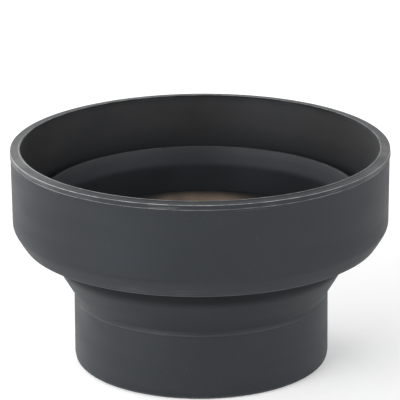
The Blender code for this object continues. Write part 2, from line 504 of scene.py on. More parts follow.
class Sketch:
    """A material's node tree, built with short calls."""

    def __init__(self, name: str) -> None:
        """Starts an empty tree with one Principled shader.

        Args:
            name: The material's name.
        """
        self.material = bpy.data.materials.new(name)
        self.material.use_nodes = True
        self.tree = self.material.node_tree
        self.shader = self.tree.nodes["Principled BSDF"]

    def node(self, kind: str, **settings: object) -> bpy.types.Node:
        """Adds a node and sets its properties.

        Args:
            kind: The node's type.
            settings: Its properties, by name.

        Returns:
            The node.
        """
        made = self.tree.nodes.new(kind)
        for key, value in settings.items():
            setattr(made, key, value)
        return made

    def feed(self, socket: Socket, value: object) -> None:
        """Links a socket to another one, or sets its number or colour.

        Args:
            socket: The socket that is fed.
            value: The other socket, the number or the colour.
        """
        if isinstance(value, Socket):
            self.tree.links.new(value, socket)
        else:
            socket.default_value = value

    def rest(self) -> Socket:
        """The place of each point at rest."""
        return self.node("ShaderNodeAttribute", attribute_name="rest").outputs["Vector"]

    def painted(self, label: str) -> Socket:
        """A number painted on the mesh."""
        return self.node("ShaderNodeAttribute", attribute_name=label).outputs["Fac"]

    def stretched(self, vector: object, scale: tuple[float, float, float]) -> Socket:
        """A vector with each axis scaled on its own.

        Args:
            vector: The vector.
            scale: The scale of each axis.

        Returns:
            The scaled vector.
        """
        mapping = self.node("ShaderNodeMapping")
        self.feed(mapping.inputs["Vector"], vector)
        mapping.inputs["Scale"].default_value = scale
        return mapping.outputs["Vector"]

    def noise(
        self, vector: object, scale: float, detail: float = 2.0, rough: float = 0.5
    ) -> Socket:
        """A soft random pattern.

        Args:
            vector: Where to read it.
            scale: Waves per metre.
            detail: Octaves of finer pattern.
            rough: How strong the finer octaves are.

        Returns:
            A number that lies mostly between 0.3 and 0.7.
        """
        made = self.node("ShaderNodeTexNoise")
        self.feed(made.inputs["Vector"], vector)
        made.inputs["Scale"].default_value = scale
        made.inputs["Detail"].default_value = detail
        made.inputs["Roughness"].default_value = rough
        return made.outputs["Fac"]

    def spread(
        self, value: object, low: float, high: float, to_low: float = 0.0, to_high: float = 1.0
    ) -> Socket:
        """Maps one range of numbers softly onto another.

        Args:
            value: The number to map.
            low: The number that becomes to_low.
            high: The number that becomes to_high.
            to_low: The start of the new range.
            to_high: The end of the new range.

        Returns:
            The mapped number, kept inside the new range.
        """
        made = self.node("ShaderNodeMapRange", interpolation_type="SMOOTHSTEP")
        self.feed(made.inputs["Value"], value)
        for key, number in (
            ("From Min", low), ("From Max", high), ("To Min", to_low), ("To Max", to_high),
        ):
            made.inputs[key].default_value = number
        return made.outputs["Result"]

    def math(self, operation: str, a: object, b: object = 0.0) -> Socket:
        """One arithmetic step on two numbers.

        Args:
            operation: The step's name in the shader.
            a: The first number.
            b: The second number.

        Returns:
            The result.
        """
        made = self.node("ShaderNodeMath", operation=operation)
        self.feed(made.inputs[0], a)
        self.feed(made.inputs[1], b)
        return made.outputs[0]

    def mix(self, share: object, a: object, b: object) -> Socket:
        """Mixes two colours.

        Args:
            share: How much of the second colour, from 0 to 1.
            a: The first colour.
            b: The second colour.

        Returns:
            The mixed colour.
        """
        made = self.node("ShaderNodeMix", data_type="RGBA")
        self.feed(made.inputs["Factor"], share)
        self.feed(made.inputs[6], a)
        self.feed(made.inputs[7], b)
        return made.outputs[2]

    def bump(self, height: object, depth: float, strength: float, under: object = None) -> object:
        """Raises a surface by a pattern.

        Args:
            height: The pattern.
            depth: How high its full range stands, in metres.
            strength: How much of it shows.
            under: A bump that this one lies on.

        Returns:
            The bumped normal.
        """
        made = self.node("ShaderNodeBump")
        made.inputs["Strength"].default_value = strength
        made.inputs["Distance"].default_value = depth
        self.feed(made.inputs["Height"], height)
        if under is not None:
            self.feed(made.inputs["Normal"], under)
        return made.outputs["Normal"]


@dataclass(frozen=True)
class RubberFinish:
    """Matte moulded rubber with a fine spark-eroded grain.

    Attributes:
        name: The material's name.
        dark: The deeper of its two tints.
        light: The paler of its two tints.
        painted_shade_colour: The near-black colour of the painted shade under the lip, in the
            crevices and low on the inner walls.
        worn_and_highlight: Its colour where it is rubbed through, also used for the painted
            highlights on the fold crests and the neck crease.
        warm_light_colour: The colour of the painted warm light on the inner cone, the fold crests
            and the upper inner wall.
        dust: The specks' colour.
        painted_sheen_colour: The colour of the painted sheen on the left and right sides.
        roughness: How matte it is.
        sheltered_roughness: How much more matte it is where the shade is painted.
        gloss: How strong its reflections are.
        tint: The colour of its reflections.
        sheen: How much the surface lightens at a glancing angle.
        specks: The largest share of dust on a speck.
        blotch_waves: Waves per metre of the two tints.
        rub_waves: Waves per metre of the change in its roughness.
        bloom_waves: Waves per metre of the patches in the painted warm light.
        speck_waves: Waves per metre of the dust.
        painted_sheen_waves: Waves per metre of the patches in the painted sheen.
        wear_and_highlight_waves: Waves per metre of the breaks in a worn edge and in a painted
            highlight.
        streak_waves: Waves per metre of the scuffs, across their length.
        cloud_waves: Waves per metre of the patches that the scuffs come in.
        swell_waves: Waves per metre of its slow unevenness.
        swell: How high that unevenness stands.
        grain_waves: Waves per metre of the grain.
        grain: How high the grain stands.
    """

    name: str
    dark: Colour = (0.0082, 0.0092, 0.0106, 1.0)
    light: Colour = (0.0116, 0.0128, 0.0146, 1.0)
    painted_shade_colour: Colour = (0.0015, 0.0015, 0.0016, 1.0)
    worn_and_highlight: Colour = (0.46, 0.46, 0.45, 1.0)
    warm_light_colour: Colour = (0.33, 0.245, 0.185, 1.0)
    dust: Colour = (0.12, 0.12, 0.118, 1.0)
    painted_sheen_colour: Colour = (0.30, 0.30, 0.295, 1.0)
    roughness: float = 0.60
    sheltered_roughness: float = 0.3
    gloss: float = 0.37
    tint: Colour = (0.84, 0.915, 1.0, 1.0)
    sheen: float = 0.02
    specks: float = 0.22
    blotch_waves: float = 62.0
    rub_waves: float = 46.0
    bloom_waves: float = 150.0
    speck_waves: float = 2300.0
    painted_sheen_waves: float = 220.0
    wear_and_highlight_waves: float = 300.0
    streak_waves: float = 900.0
    cloud_waves: float = 75.0
    swell_waves: float = 210.0
    swell: float = 0.05 * MM
    grain_waves: float = 3600.0
    grain: float = 0.02 * MM

    def make(self) -> bpy.types.Material:
        """Builds the material.

        Returns:
            The material.
        """
        s = Sketch(self.name)
        place = s.rest()
        blotch = s.spread(s.noise(place, self.blotch_waves, 4.0, 0.55), 0.32, 0.68)
        upright = s.stretched(place, (1.0, 1.0, 7.0))
        rubbed = s.spread(s.noise(upright, self.rub_waves, 3.0), 0.35, 0.7)
        colour = s.mix(blotch, self.dark, self.light)
        # Painted shade: a near-black colour under the lip, in the crevices and low on the inner
        # walls.
        shelter = s.painted("shelter")
        colour = s.mix(shelter, colour, self.painted_shade_colour)

        # Painted warm light: a pool of light on the inner cone, highlights on the fold crests and
        # a lighter upper inner wall.
        patches = s.noise(place, self.bloom_waves, 4.0, 0.6)
        bloom_patch = s.spread(patches, 0.25, 0.75, 0.55, 1.0)
        bloom = s.math("MULTIPLY", s.painted("bloom"), bloom_patch)
        colour = s.mix(bloom, colour, self.warm_light_colour)

        speck = s.spread(s.noise(place, self.speck_waves, 1.0), 0.72, 0.80, 0.0, self.specks)
        colour = s.mix(speck, colour, self.dust)

        # Painted sheen: paler on the left and right sides.
        painted_sheen_noise = s.noise(s.stretched(place, (0.5, 0.5, 1.5)), self.painted_sheen_waves, 3.0)
        painted_sheen_patch = s.spread(painted_sheen_noise, 0.3, 0.7, 0.4, 1.0)
        colour = s.mix(s.math("MULTIPLY", s.painted("film"), painted_sheen_patch), colour, self.painted_sheen_colour)

        # Worn edges and scuffs; the wear mask also carries painted highlights on the fold crests
        # and the neck crease.
        patch = s.spread(s.noise(place, self.wear_and_highlight_waves, 3.0, 0.65), 0.34, 0.60, 0.42, 1.0)
        flat = s.stretched(place, (0.12, 0.12, 5.0))
        streak = s.spread(s.noise(flat, self.streak_waves, 2.0), 0.52, 0.66)
        cloud = s.spread(s.noise(place, self.cloud_waves, 2.0), 0.38, 0.62)
        scuff = s.math("MULTIPLY", s.math("MULTIPLY", s.painted("scuff"), streak), cloud)
        wear_and_highlight = s.math("MULTIPLY", s.painted("wear_and_highlight"), patch)
        wear_and_highlight = s.math("MAXIMUM", wear_and_highlight, scuff)
        colour = s.mix(wear_and_highlight, colour, self.worn_and_highlight)
        s.feed(s.shader.inputs["Base Color"], colour)

        rough = s.math("ADD", self.roughness - 0.05, s.math("MULTIPLY", blotch, 0.07))
        rough = s.math("ADD", rough, s.math("MULTIPLY", rubbed, 0.05))
        # Where the shade is painted, the rubber is also rougher.
        sheltered = s.math("MULTIPLY", shelter, self.sheltered_roughness)
        rough = s.math("ADD", rough, sheltered)
        s.feed(s.shader.inputs["Roughness"], s.math("ADD", rough, s.math("MULTIPLY", wear_and_highlight, 0.12)))
        s.shader.inputs["IOR"].default_value = 1.52
        s.shader.inputs["Specular IOR Level"].default_value = self.gloss
        s.shader.inputs["Specular Tint"].default_value = self.tint
        s.shader.inputs["Sheen Weight"].default_value = self.sheen
        s.shader.inputs["Sheen Roughness"].default_value = 0.45

        swell = s.bump(s.noise(place, self.swell_waves, 2.0), self.swell, 0.25)
        grain = s.bump(s.noise(place, self.grain_waves, 3.0, 0.6), self.grain, 0.35, swell)
        s.feed(s.shader.inputs["Normal"], grain)
        return s.material


@dataclass(frozen=True)
class AnodisedFinish:
    """Black anodised aluminium with turned lines, rubbed bright on its edges.

    Attributes:
        name: The material's name.
        colour: The anodising's deeper tint.
        bare: The colour of rubbed metal.
        paler: How much lighter the anodising's other tint is.
        smooth: The roughness of its glossier clouds.
        matte: The roughness of the others.
        cloud_waves: Waves per metre of the clouds.
        wear_and_highlight_waves: Waves per metre of the breaks in a worn edge.
        line_waves: Waves per metre of the turned lines.
        line_depth: How deep those lines are.
    """

    name: str
    colour: Colour = (0.020, 0.020, 0.022, 1.0)
    bare: Colour = (0.62, 0.62, 0.64, 1.0)
    paler: float = 1.5
    smooth: float = 0.34
    matte: float = 0.46
    cloud_waves: float = 90.0
    wear_and_highlight_waves: float = 420.0
    line_waves: float = 9000.0
    line_depth: float = 0.01 * MM

    def make(self) -> bpy.types.Material:
        """Builds the material.

        Returns:
            The material.
        """
        s = Sketch(self.name)
        place = s.rest()
        cloud = s.spread(s.noise(place, self.cloud_waves, 4.0, 0.6), 0.3, 0.7)
        paler = tuple(self.paler * c for c in self.colour[:3]) + (1.0,)
        colour = s.mix(cloud, self.colour, paler)
        patch = s.spread(s.noise(place, self.wear_and_highlight_waves, 4.0, 0.7), 0.40, 0.62)
        wear_and_highlight = s.math("MULTIPLY", s.painted("wear_and_highlight"), patch)
        s.feed(s.shader.inputs["Base Color"], s.mix(wear_and_highlight, colour, self.bare))
        s.feed(s.shader.inputs["Metallic"], s.spread(wear_and_highlight, 0.0, 1.0, 0.75, 1.0))
        rough = s.spread(cloud, 0.0, 1.0, self.smooth, self.matte)
        s.feed(s.shader.inputs["Roughness"], rough)
        lines = s.noise(s.stretched(place, (0.02, 0.02, 1.0)), self.line_waves, 1.0)
        s.feed(s.shader.inputs["Normal"], s.bump(lines, self.line_depth, 0.3))
        return s.material


@dataclass(frozen=True)
class SweepFinish:
    """The matte white sheet of the studio sweep, lit faintly from below.

    Attributes:
        name: The material's name.
        colour: The paper's colour.
        paler: How much lighter the paper's tooth is.
        glow: How strong the light from below is.
        tooth_waves: Waves per metre of the paper's tooth.
    """

    name: str = "sweep_paper"
    colour: Colour = (0.90, 0.90, 0.90, 1.0)
    paler: float = 1.01
    glow: float = 0.16
    tooth_waves: float = 300.0

    def make(self) -> bpy.types.Material:
        """Builds the material.

        Returns:
            The material.
        """
        s = Sketch(self.name)
        place = s.node("ShaderNodeTexCoord").outputs["Object"]
        tooth = s.noise(place, self.tooth_waves, 3.0)
        paler = tuple(min(1.0, self.paler * c) for c in self.colour[:3]) + (1.0,)
        s.feed(s.shader.inputs["Base Color"], s.mix(tooth, self.colour, paler))
        s.shader.inputs["Emission Color"].default_value = WHITE
        s.shader.inputs["Emission Strength"].default_value = self.glow
        s.shader.inputs["Roughness"].default_value = 0.9
        s.shader.inputs["Specular IOR Level"].default_value = 0.1
        return s.material


# ---------------------------------------------------------------- the hood


def dress(piece: Piece, material: bpy.types.Material) -> None:
    """Gives a piece its material.

    Args:
        piece: The piece.
        material: Its material.
    """
    piece.data.materials.clear()
    piece.data.materials.append(material)


@dataclass(frozen=True)
class Datum:
    """The hood's main places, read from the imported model.

    Attributes:
        rim_radius: The rim's outer radius.
        rim_top: The rim's highest point.
        lip_bottom: The lowest point of the folded barrel.
        lip_hinge: The radius where the barrel's lip meets the front fold.
        crest_top: The height of the crest between the front fold and the sleeve.
        sleeve_radius: The radius where the front fold meets the sleeve, its outer side.
        sleeve_bottom: The height where the sleeve meets the rear fold.
        neck_top: The height where the rear fold meets the neck.
        foot_radius: The neck's outer radius at the foot.
    """

    rim_radius: float
    rim_top: float
    lip_bottom: float
    lip_hinge: float
    crest_top: float
    sleeve_radius: float
    sleeve_bottom: float
    neck_top: float
    foot_radius: float

    @classmethod
    def from_frame(cls) -> "Datum":
        """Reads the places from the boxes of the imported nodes.

        Returns:
            The places.
        """
        _, barrel_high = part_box("front_barrel")
        fold_low, fold_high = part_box("front_fold")
        sleeve_low, sleeve_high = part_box("middle_sleeve")
        _, cone_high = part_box("rear_fold")
        _, neck_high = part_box("neck_sleeve")
        half_gap = (sleeve_low.z - cone_high.z) / 2
        return cls(
            rim_radius=barrel_high.x,
            rim_top=barrel_high.z,
            lip_bottom=fold_low.z,
            lip_hinge=fold_high.x + half_gap,
            crest_top=fold_high.z,
            sleeve_radius=sleeve_high.x + half_gap,
            sleeve_bottom=cone_high.z + half_gap,
            neck_top=neck_high.z + half_gap,
            foot_radius=neck_high.x,
        )


@dataclass
class FrontBarrel:
    """The wide barrel: rim lip, wall, chamfer and the lip that it folds over."""

    datum: Datum
    finish: RubberFinish
    wall: float = 2.26 * MM
    bead_drop: float = 0.02 * MM
    bead_width: float = 0.32 * MM
    bead_foot: float = 0.42 * MM
    bead_height: float = 0.13 * MM
    rim_slope: float = 0.32 * MM
    edge_inset: float = 0.02 * MM
    band_height: float = 1.06 * MM
    band_step: float = 0.10 * MM
    ledge: float = 0.03 * MM
    ledge_rise: float = 0.12 * MM
    ledge_drop: float = 0.13 * MM
    clean_drop: float = 0.7 * MM
    clean_inset: float = 0.01 * MM
    taper: float = 0.20 * MM
    foot_flare: float = 0.08 * MM
    chamfer_top: float = 32.45 * MM
    chamfer_width: float = 0.9 * MM
    chamfer_rise: float = 1.35 * MM
    lip_radius: float = 40.42 * MM
    lip_top: float = 28.62 * MM
    lip_inset: float = 0.5 * MM
    crevice: float = 29.9 * MM
    inner_step: float = 0.06 * MM
    # Heights up the inner wall where the painted shade fades and the painted warm light begins.
    sheltered_rise: float = 6.5 * MM
    painted_light_rise: float = 13.0 * MM
    inner_lip: float = 0.97 * MM
    inner_lip_foot: float = 1.05 * MM
    ridge: float = 0.07 * MM
    rim_film: float = 0.34
    inner_bloom: float = 0.034

    def outline(self) -> Outline:
        """The barrel's section, from the rim's inner edge round to its inner wall.

        Returns:
            The closed outline.
        """
        d = self.datum
        inner = d.rim_radius - self.wall
        bore = inner + self.inner_step
        lip_hinge, bloom = d.lip_hinge, self.inner_bloom
        return Outline(
            [
                *self._rim(inner),
                *self._outside(),
                Corner(lip_hinge, d.lip_bottom),
                Corner(lip_hinge, self.crevice),
                # Painted shade low on the inner wall, fading upwards into painted warm light.
                Corner(bore, self.crevice, fillet=0.55 * MM, shelter=1.0),
                Corner(bore, self.crevice + self.sheltered_rise, shelter=0.7),
                Corner(bore, self.crevice + self.painted_light_rise, bloom=bloom),
                Corner(bore, d.rim_top - self.inner_lip_foot, fillet=0.04 * MM, bloom=bloom),
                Corner(
                    inner, d.rim_top - self.inner_lip, fillet=0.04 * MM, wear_and_highlight=0.10, bloom=bloom
                ),
            ]
        )

    def _rim(self, inner: float) -> list[Corner]:
        """The rim's top: a fine bead on its inner edge, then a slope to its outer edge.

        Args:
            inner: The radius of the rim's inner edge.

        Returns:
            The corners.
        """
        # Painted sheen on the rim, paler on its left and right sides.
        d, film = self.datum, self.rim_film
        bead = d.rim_top - self.bead_drop
        flash = -0.4 * self.ridge
        edge, edge_flash = d.rim_radius - self.edge_inset, 0.3 * self.ridge
        return [
            Corner(inner, bead, fillet=0.10 * MM, wear_and_highlight=0.8, flash=flash, film=film),
            Corner(inner + self.bead_width, d.rim_top, fillet=0.09 * MM, wear_and_highlight=1.0, film=film),
            Corner(
                inner + self.bead_foot, d.rim_top - self.bead_height, fillet=0.05 * MM, film=film
            ),
            Corner(
                edge, d.rim_top - self.rim_slope, fillet=0.10 * MM,
                wear_and_highlight=1.0, flash=edge_flash, scuff=0.15, film=0.30,
            ),
        ]

    def _outside(self) -> list[Corner]:
        """The band below the rim, the wall, the chamfer and the lip's lower edge.

        Returns:
            The corners.
        """
        d = self.datum
        band_bottom = d.rim_top - self.rim_slope - self.band_height
        wall_top = d.rim_radius - self.band_step
        foot = d.rim_radius - self.band_step - self.taper + self.foot_flare
        chamfer_foot = self.lip_radius + self.chamfer_width
        return [
            # Wear and scuffs on the band, with painted sheen on its left and right sides.
            Corner(
                d.rim_radius, band_bottom + self.ledge_rise, fillet=0.03 * MM,
                wear_and_highlight=0.2, scuff=0.2, film=0.16,
            ),
            Corner(
                d.rim_radius + self.ledge, band_bottom, fillet=0.07 * MM,
                wear_and_highlight=1.0, flash=self.ridge,
            ),
            Corner(
                wall_top, band_bottom - self.ledge_drop, fillet=0.05 * MM, wear_and_highlight=0.2, scuff=0.15
            ),
            Corner(wall_top - self.clean_inset, band_bottom - self.clean_drop),
            Corner(foot, self.chamfer_top, fillet=3.2 * MM),
            Corner(chamfer_foot, self.lip_top + self.chamfer_rise, fillet=1.1 * MM, scuff=0.05),
            Corner(self.lip_radius, self.lip_top, fillet=0.25 * MM, wear_and_highlight=0.34, scuff=0.1),
            Corner(self.lip_radius - self.lip_inset, d.lip_bottom, fillet=0.3 * MM),
        ]

    def build(self, turner: Turner) -> Piece:
        """Turns, dresses and mounts the barrel.

        Args:
            turner: The lathe.

        Returns:
            The piece.
        """
        piece = turner.rubber("barrel_rubber", self.outline())
        dress(piece, self.finish.make())
        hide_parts("front_barrel")
        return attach(piece, Body.BARREL.value)


@dataclass
class FrontFold:
    """The thin skirt that hangs from the crest and turns out with the barrel."""

    datum: Datum
    finish: RubberFinish
    thickness: float = 1.15 * MM
    crest_radius: float = 36.64 * MM
    crest_inset: float = 0.12 * MM
    shoulder_drop: float = 0.55 * MM
    crest_bloom: float = 0.035
    crevice: float = 29.9 * MM
    still_top: float = 0.1 * MM
    still_foot: float = 0.6 * MM

    def lean(self) -> float:
        """How much the skirt widens for each metre that it comes down."""
        fall = self.datum.crest_top - self.shoulder_drop - self.crevice
        return (self.datum.lip_hinge - self.crest_radius) / fall

    def apex(self) -> float:
        """The height where the skirt's inner side meets the sleeve."""
        gap = self.datum.lip_hinge - self.thickness - self.datum.sleeve_radius
        return self.crevice + gap / self.lean()

    def outline(self) -> Outline:
        """The skirt's section, from the crest down its outer side and back up.

        Returns:
            The closed outline.
        """
        d = self.datum
        inner_foot = d.lip_hinge - self.thickness
        shoulder = d.crest_top - self.shoulder_drop
        return Outline(
            [
                # Painted highlight along the crest.
                Corner(d.sleeve_radius, d.crest_top, bloom=self.crest_bloom),
                Corner(
                    self.crest_radius - self.crest_inset, d.crest_top, fillet=0.32 * MM,
                    wear_and_highlight=0.15, bloom=self.crest_bloom,
                ),
                Corner(self.crest_radius, shoulder, fillet=0.4 * MM),
                Corner(d.lip_hinge, self.crevice),
                Corner(d.lip_hinge, d.lip_bottom),
                Corner(inner_foot, d.lip_bottom, fillet=0.5 * MM),
                Corner(inner_foot, self.crevice, fillet=0.8 * MM),
                Corner(d.sleeve_radius, self.apex()),
            ],
            longest=0.35 * MM,
        )

    def build(self, turner: Turner) -> Piece:
        """Turns and dresses the skirt, which lies between the sleeve and the barrel, and fixes it
        in place.

        Args:
            turner: The lathe.

        Returns:
            The piece.
        """
        piece = turner.rubber("front_fold_rubber", self.outline())
        dress(piece, self.finish.make())
        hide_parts("front_fold")
        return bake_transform(piece)


@dataclass
class MiddleSleeve:
    """The sleeve inside the folded barrel, chamfered inside below its crest."""

    datum: Datum
    finish: RubberFinish
    wall: float = 1.9 * MM
    chamfer_bottom: float = 35.1 * MM
    crest_width: float = 0.22 * MM
    overlap_into_cone: float = 0.4 * MM
    sheltered_rise: float = 1.2 * MM
    bloom_drop: float = 0.5 * MM
    crest_bloom: float = 0.035

    def _on_chamfer(self, share: float, **painted: float) -> Corner:
        """A corner on the inner chamfer.

        Args:
            share: How far up the chamfer it lies, from 0 to 1.
            painted: What is painted there.

        Returns:
            The corner.
        """
        d = self.datum
        inner = d.sleeve_radius - self.wall
        r = inner + (self.wall - self.crest_width) * share
        z = self.chamfer_bottom + (d.crest_top - self.chamfer_bottom) * share
        return Corner(r, z, **painted)

    def outline(self) -> Outline:
        """The sleeve's section.

        Returns:
            The closed outline.
        """
        d = self.datum
        inner = d.sleeve_radius - self.wall
        seam = d.sleeve_bottom + self.overlap_into_cone
        return Outline(
            [
                # Painted highlight on the crest and on its inner chamfer.
                Corner(d.sleeve_radius, d.crest_top, bloom=self.crest_bloom),
                Corner(d.sleeve_radius, d.crest_top - self.bloom_drop),
                # Painted shade: a dark band low on the sleeve's outer wall.
                Corner(d.sleeve_radius, seam + self.sheltered_rise),
                Corner(d.sleeve_radius, seam, shelter=0.8),
                Corner(inner, seam),
                Corner(inner, self.chamfer_bottom, fillet=3.0 * MM),
                self._on_chamfer(0.55),
                self._on_chamfer(0.85, bloom=self.crest_bloom),
                Corner(
                    d.sleeve_radius - self.crest_width, d.crest_top, fillet=0.25 * MM,
                    wear_and_highlight=0.15, bloom=self.crest_bloom,
                ),
            ],
            longest=0.6 * MM,
        )

    def build(self, turner: Turner) -> Piece:
        """Turns, dresses and mounts the sleeve.

        Args:
            turner: The lathe.

        Returns:
            The piece.
        """
        piece = turner.rubber("sleeve_rubber", self.outline())
        dress(piece, self.finish.make())
        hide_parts("middle_sleeve")
        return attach(piece, Body.SLEEVE.value)


@dataclass
class RearFold:
    """The cone between the sleeve and the neck, which turns inside out over the neck."""

    datum: Datum
    finish: RubberFinish
    wall: float = 1.9 * MM
    neck_inset: float = 0.08 * MM
    neck_inner: float = 27.3 * MM
    overlap_into_sleeve: float = 0.4 * MM
    overlap_into_neck: float = 0.7 * MM
    shoulder: float = 0.30 * MM
    shoulder_rise: float = 0.75 * MM
    crease_drop: float = 0.15 * MM
    inner_crease_rise: float = 0.6 * MM
    inner_top_rise: float = 0.1 * MM
    # Painted warm light: a pool of light painted on the inner cone, strongest at the back, with
    # fainter patches elsewhere.
    bloom: float = 0.85
    patches: tuple[tuple[float, float], ...] = ((90.0, 1.0), (215.0, 0.35), (330.0, 0.45))
    patch_half: float = 20.0
    patch_reach: float = 30.0
    patch_top: float = 28.6 * MM
    patch_fall: float = 0.35 * MM
    patch_soft: float = 2.4 * MM

    def _on_cone(self, share: float, **painted: float) -> Corner:
        """A corner on the cone's outer side.

        Args:
            share: How far down the cone it lies, from 0 to 1.
            painted: What is painted there.

        Returns:
            The corner.
        """
        d = self.datum
        low = d.foot_radius - self.neck_inset - self.shoulder
        r = d.sleeve_radius + (low - d.sleeve_radius) * share
        z = d.sleeve_bottom + (d.neck_top + self.shoulder_rise - d.sleeve_bottom) * share
        return Corner(r, z, **painted)

    def outline(self) -> Outline:
        """The cone's section, with a short straight end on each side.

        Returns:
            The closed outline.
        """
        d = self.datum
        top = d.sleeve_bottom + self.overlap_into_sleeve
        bottom = d.neck_top - self.overlap_into_neck
        inner = d.sleeve_radius - self.wall
        neck = d.foot_radius - self.neck_inset
        return Outline(
            [
                Corner(inner, top),
                # Painted shade under the barrel's lip, on the top of the cone.
                Corner(d.sleeve_radius, top, shelter=0.8),
                Corner(d.sleeve_radius, d.sleeve_bottom, fillet=0.8 * MM, shelter=1.0),
                self._on_cone(0.28, shelter=1.0),
                # Painted sheen on the cone's left and right sides, growing towards the neck.
                self._on_cone(0.46, film=0.03),
                self._on_cone(0.80, film=0.06),
                Corner(
                    neck - self.shoulder, d.neck_top + self.shoulder_rise,
                    fillet=1.5 * MM, film=0.10,
                ),
                # Painted highlight in the crease where the cone meets the neck.
                Corner(
                    neck, d.neck_top - self.crease_drop, fillet=1.3 * MM, wear_and_highlight=0.065, film=0.09
                ),
                Corner(neck, bottom, film=0.07),
                Corner(self.neck_inner, bottom),
                # Painted warm light pooled on the inner cone, over painted shade.
                Corner(
                    self.neck_inner, d.neck_top + self.inner_crease_rise, fillet=2.0 * MM,
                    bloom=0.5 * self.bloom, shelter=0.7,
                ),
                Corner(
                    inner, d.sleeve_bottom + self.inner_top_rise, fillet=0.8 * MM,
                    bloom=self.bloom, shelter=0.7,
                ),
            ],
            longest=0.35 * MM,
        )

    def _patch(self, piece: Piece, turner: Turner) -> None:
        """Gathers the painted warm light on the inner cone into soft patches, each given by its
        angle and strength.

        A patch's edge lies at patch_top in its middle, and patch_fall lower at patch_half
        degrees to either side.

        Args:
            piece: The turned cone.
            turner: The lathe that turned it.
        """
        rows = self.outline().rows()
        angles, _, heights = turner.grid(rows)
        share = np.zeros_like(angles)
        for middle, strength in self.patches:
            turn = turn_between(angles, middle)
            edge = self.patch_top - self.patch_fall * (turn / self.patch_half) ** 2
            rise = np.clip((edge - heights) / self.patch_soft, 0.0, 1.0)
            reach = strength * np.exp(-((turn / self.patch_reach) ** 4))
            share = np.maximum(share, reach * rise * rise * (3 - 2 * rise))
        bloom = np.array([row.bloom for row in rows])[None, :] * share
        paint(piece.data, "bloom", bloom.ravel())

    def build(self, turner: Turner) -> Piece:
        """Turns and dresses the cone, which lies between the neck and the sleeve, and fixes it in
        place.

        Args:
            turner: The lathe.

        Returns:
            The piece.
        """
        piece = turner.rubber("rear_fold_rubber", self.outline())
        self._patch(piece, turner)
        dress(piece, self.finish.make())
        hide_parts("rear_fold")
        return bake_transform(piece)


@dataclass
class NeckSleeve:
    """The straight neck, with the inner web that the metal rings clamp."""

    datum: Datum
    finish: RubberFinish
    inset: float = 0.08 * MM
    inner: float = 27.3 * MM
    web_radius: float = 25.6 * MM
    web_bottom: float = 4.2 * MM
    web_top: float = 5.8 * MM
    seam_drop: float = 0.7 * MM
    foot_rise: float = 1.6 * MM
    foot_inset: float = 0.28 * MM

    def outline(self) -> Outline:
        """The neck's section.

        Returns:
            The closed outline.
        """
        d = self.datum
        seam = d.neck_top - self.seam_drop
        return Outline(
            [
                Corner(self.inner, seam),
                # Painted sheen on the neck's left and right sides.
                Corner(d.foot_radius - self.inset, seam, film=0.07),
                Corner(d.foot_radius, self.foot_rise, fillet=1.0 * MM, film=0.06),
                Corner(d.foot_radius - self.foot_inset, 0.0, fillet=1.0 * MM, wear_and_highlight=0.06),
                Corner(self.inner, 0.0, fillet=0.15 * MM),
                Corner(self.inner, self.web_bottom, fillet=0.15 * MM),
                Corner(self.web_radius, self.web_bottom, fillet=0.2 * MM),
                Corner(self.web_radius, self.web_top, fillet=0.2 * MM),
                Corner(self.inner, self.web_top, fillet=0.3 * MM),
            ]
        )

    def build(self, turner: Turner) -> Piece:
        """Turns, dresses and mounts the neck.

        Args:
            turner: The lathe.

        Returns:
            The piece.
        """
        piece = turner.rubber("neck_rubber", self.outline())
        dress(piece, self.finish.make())
        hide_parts("neck_sleeve")
        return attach(piece, Body.NECK.value)


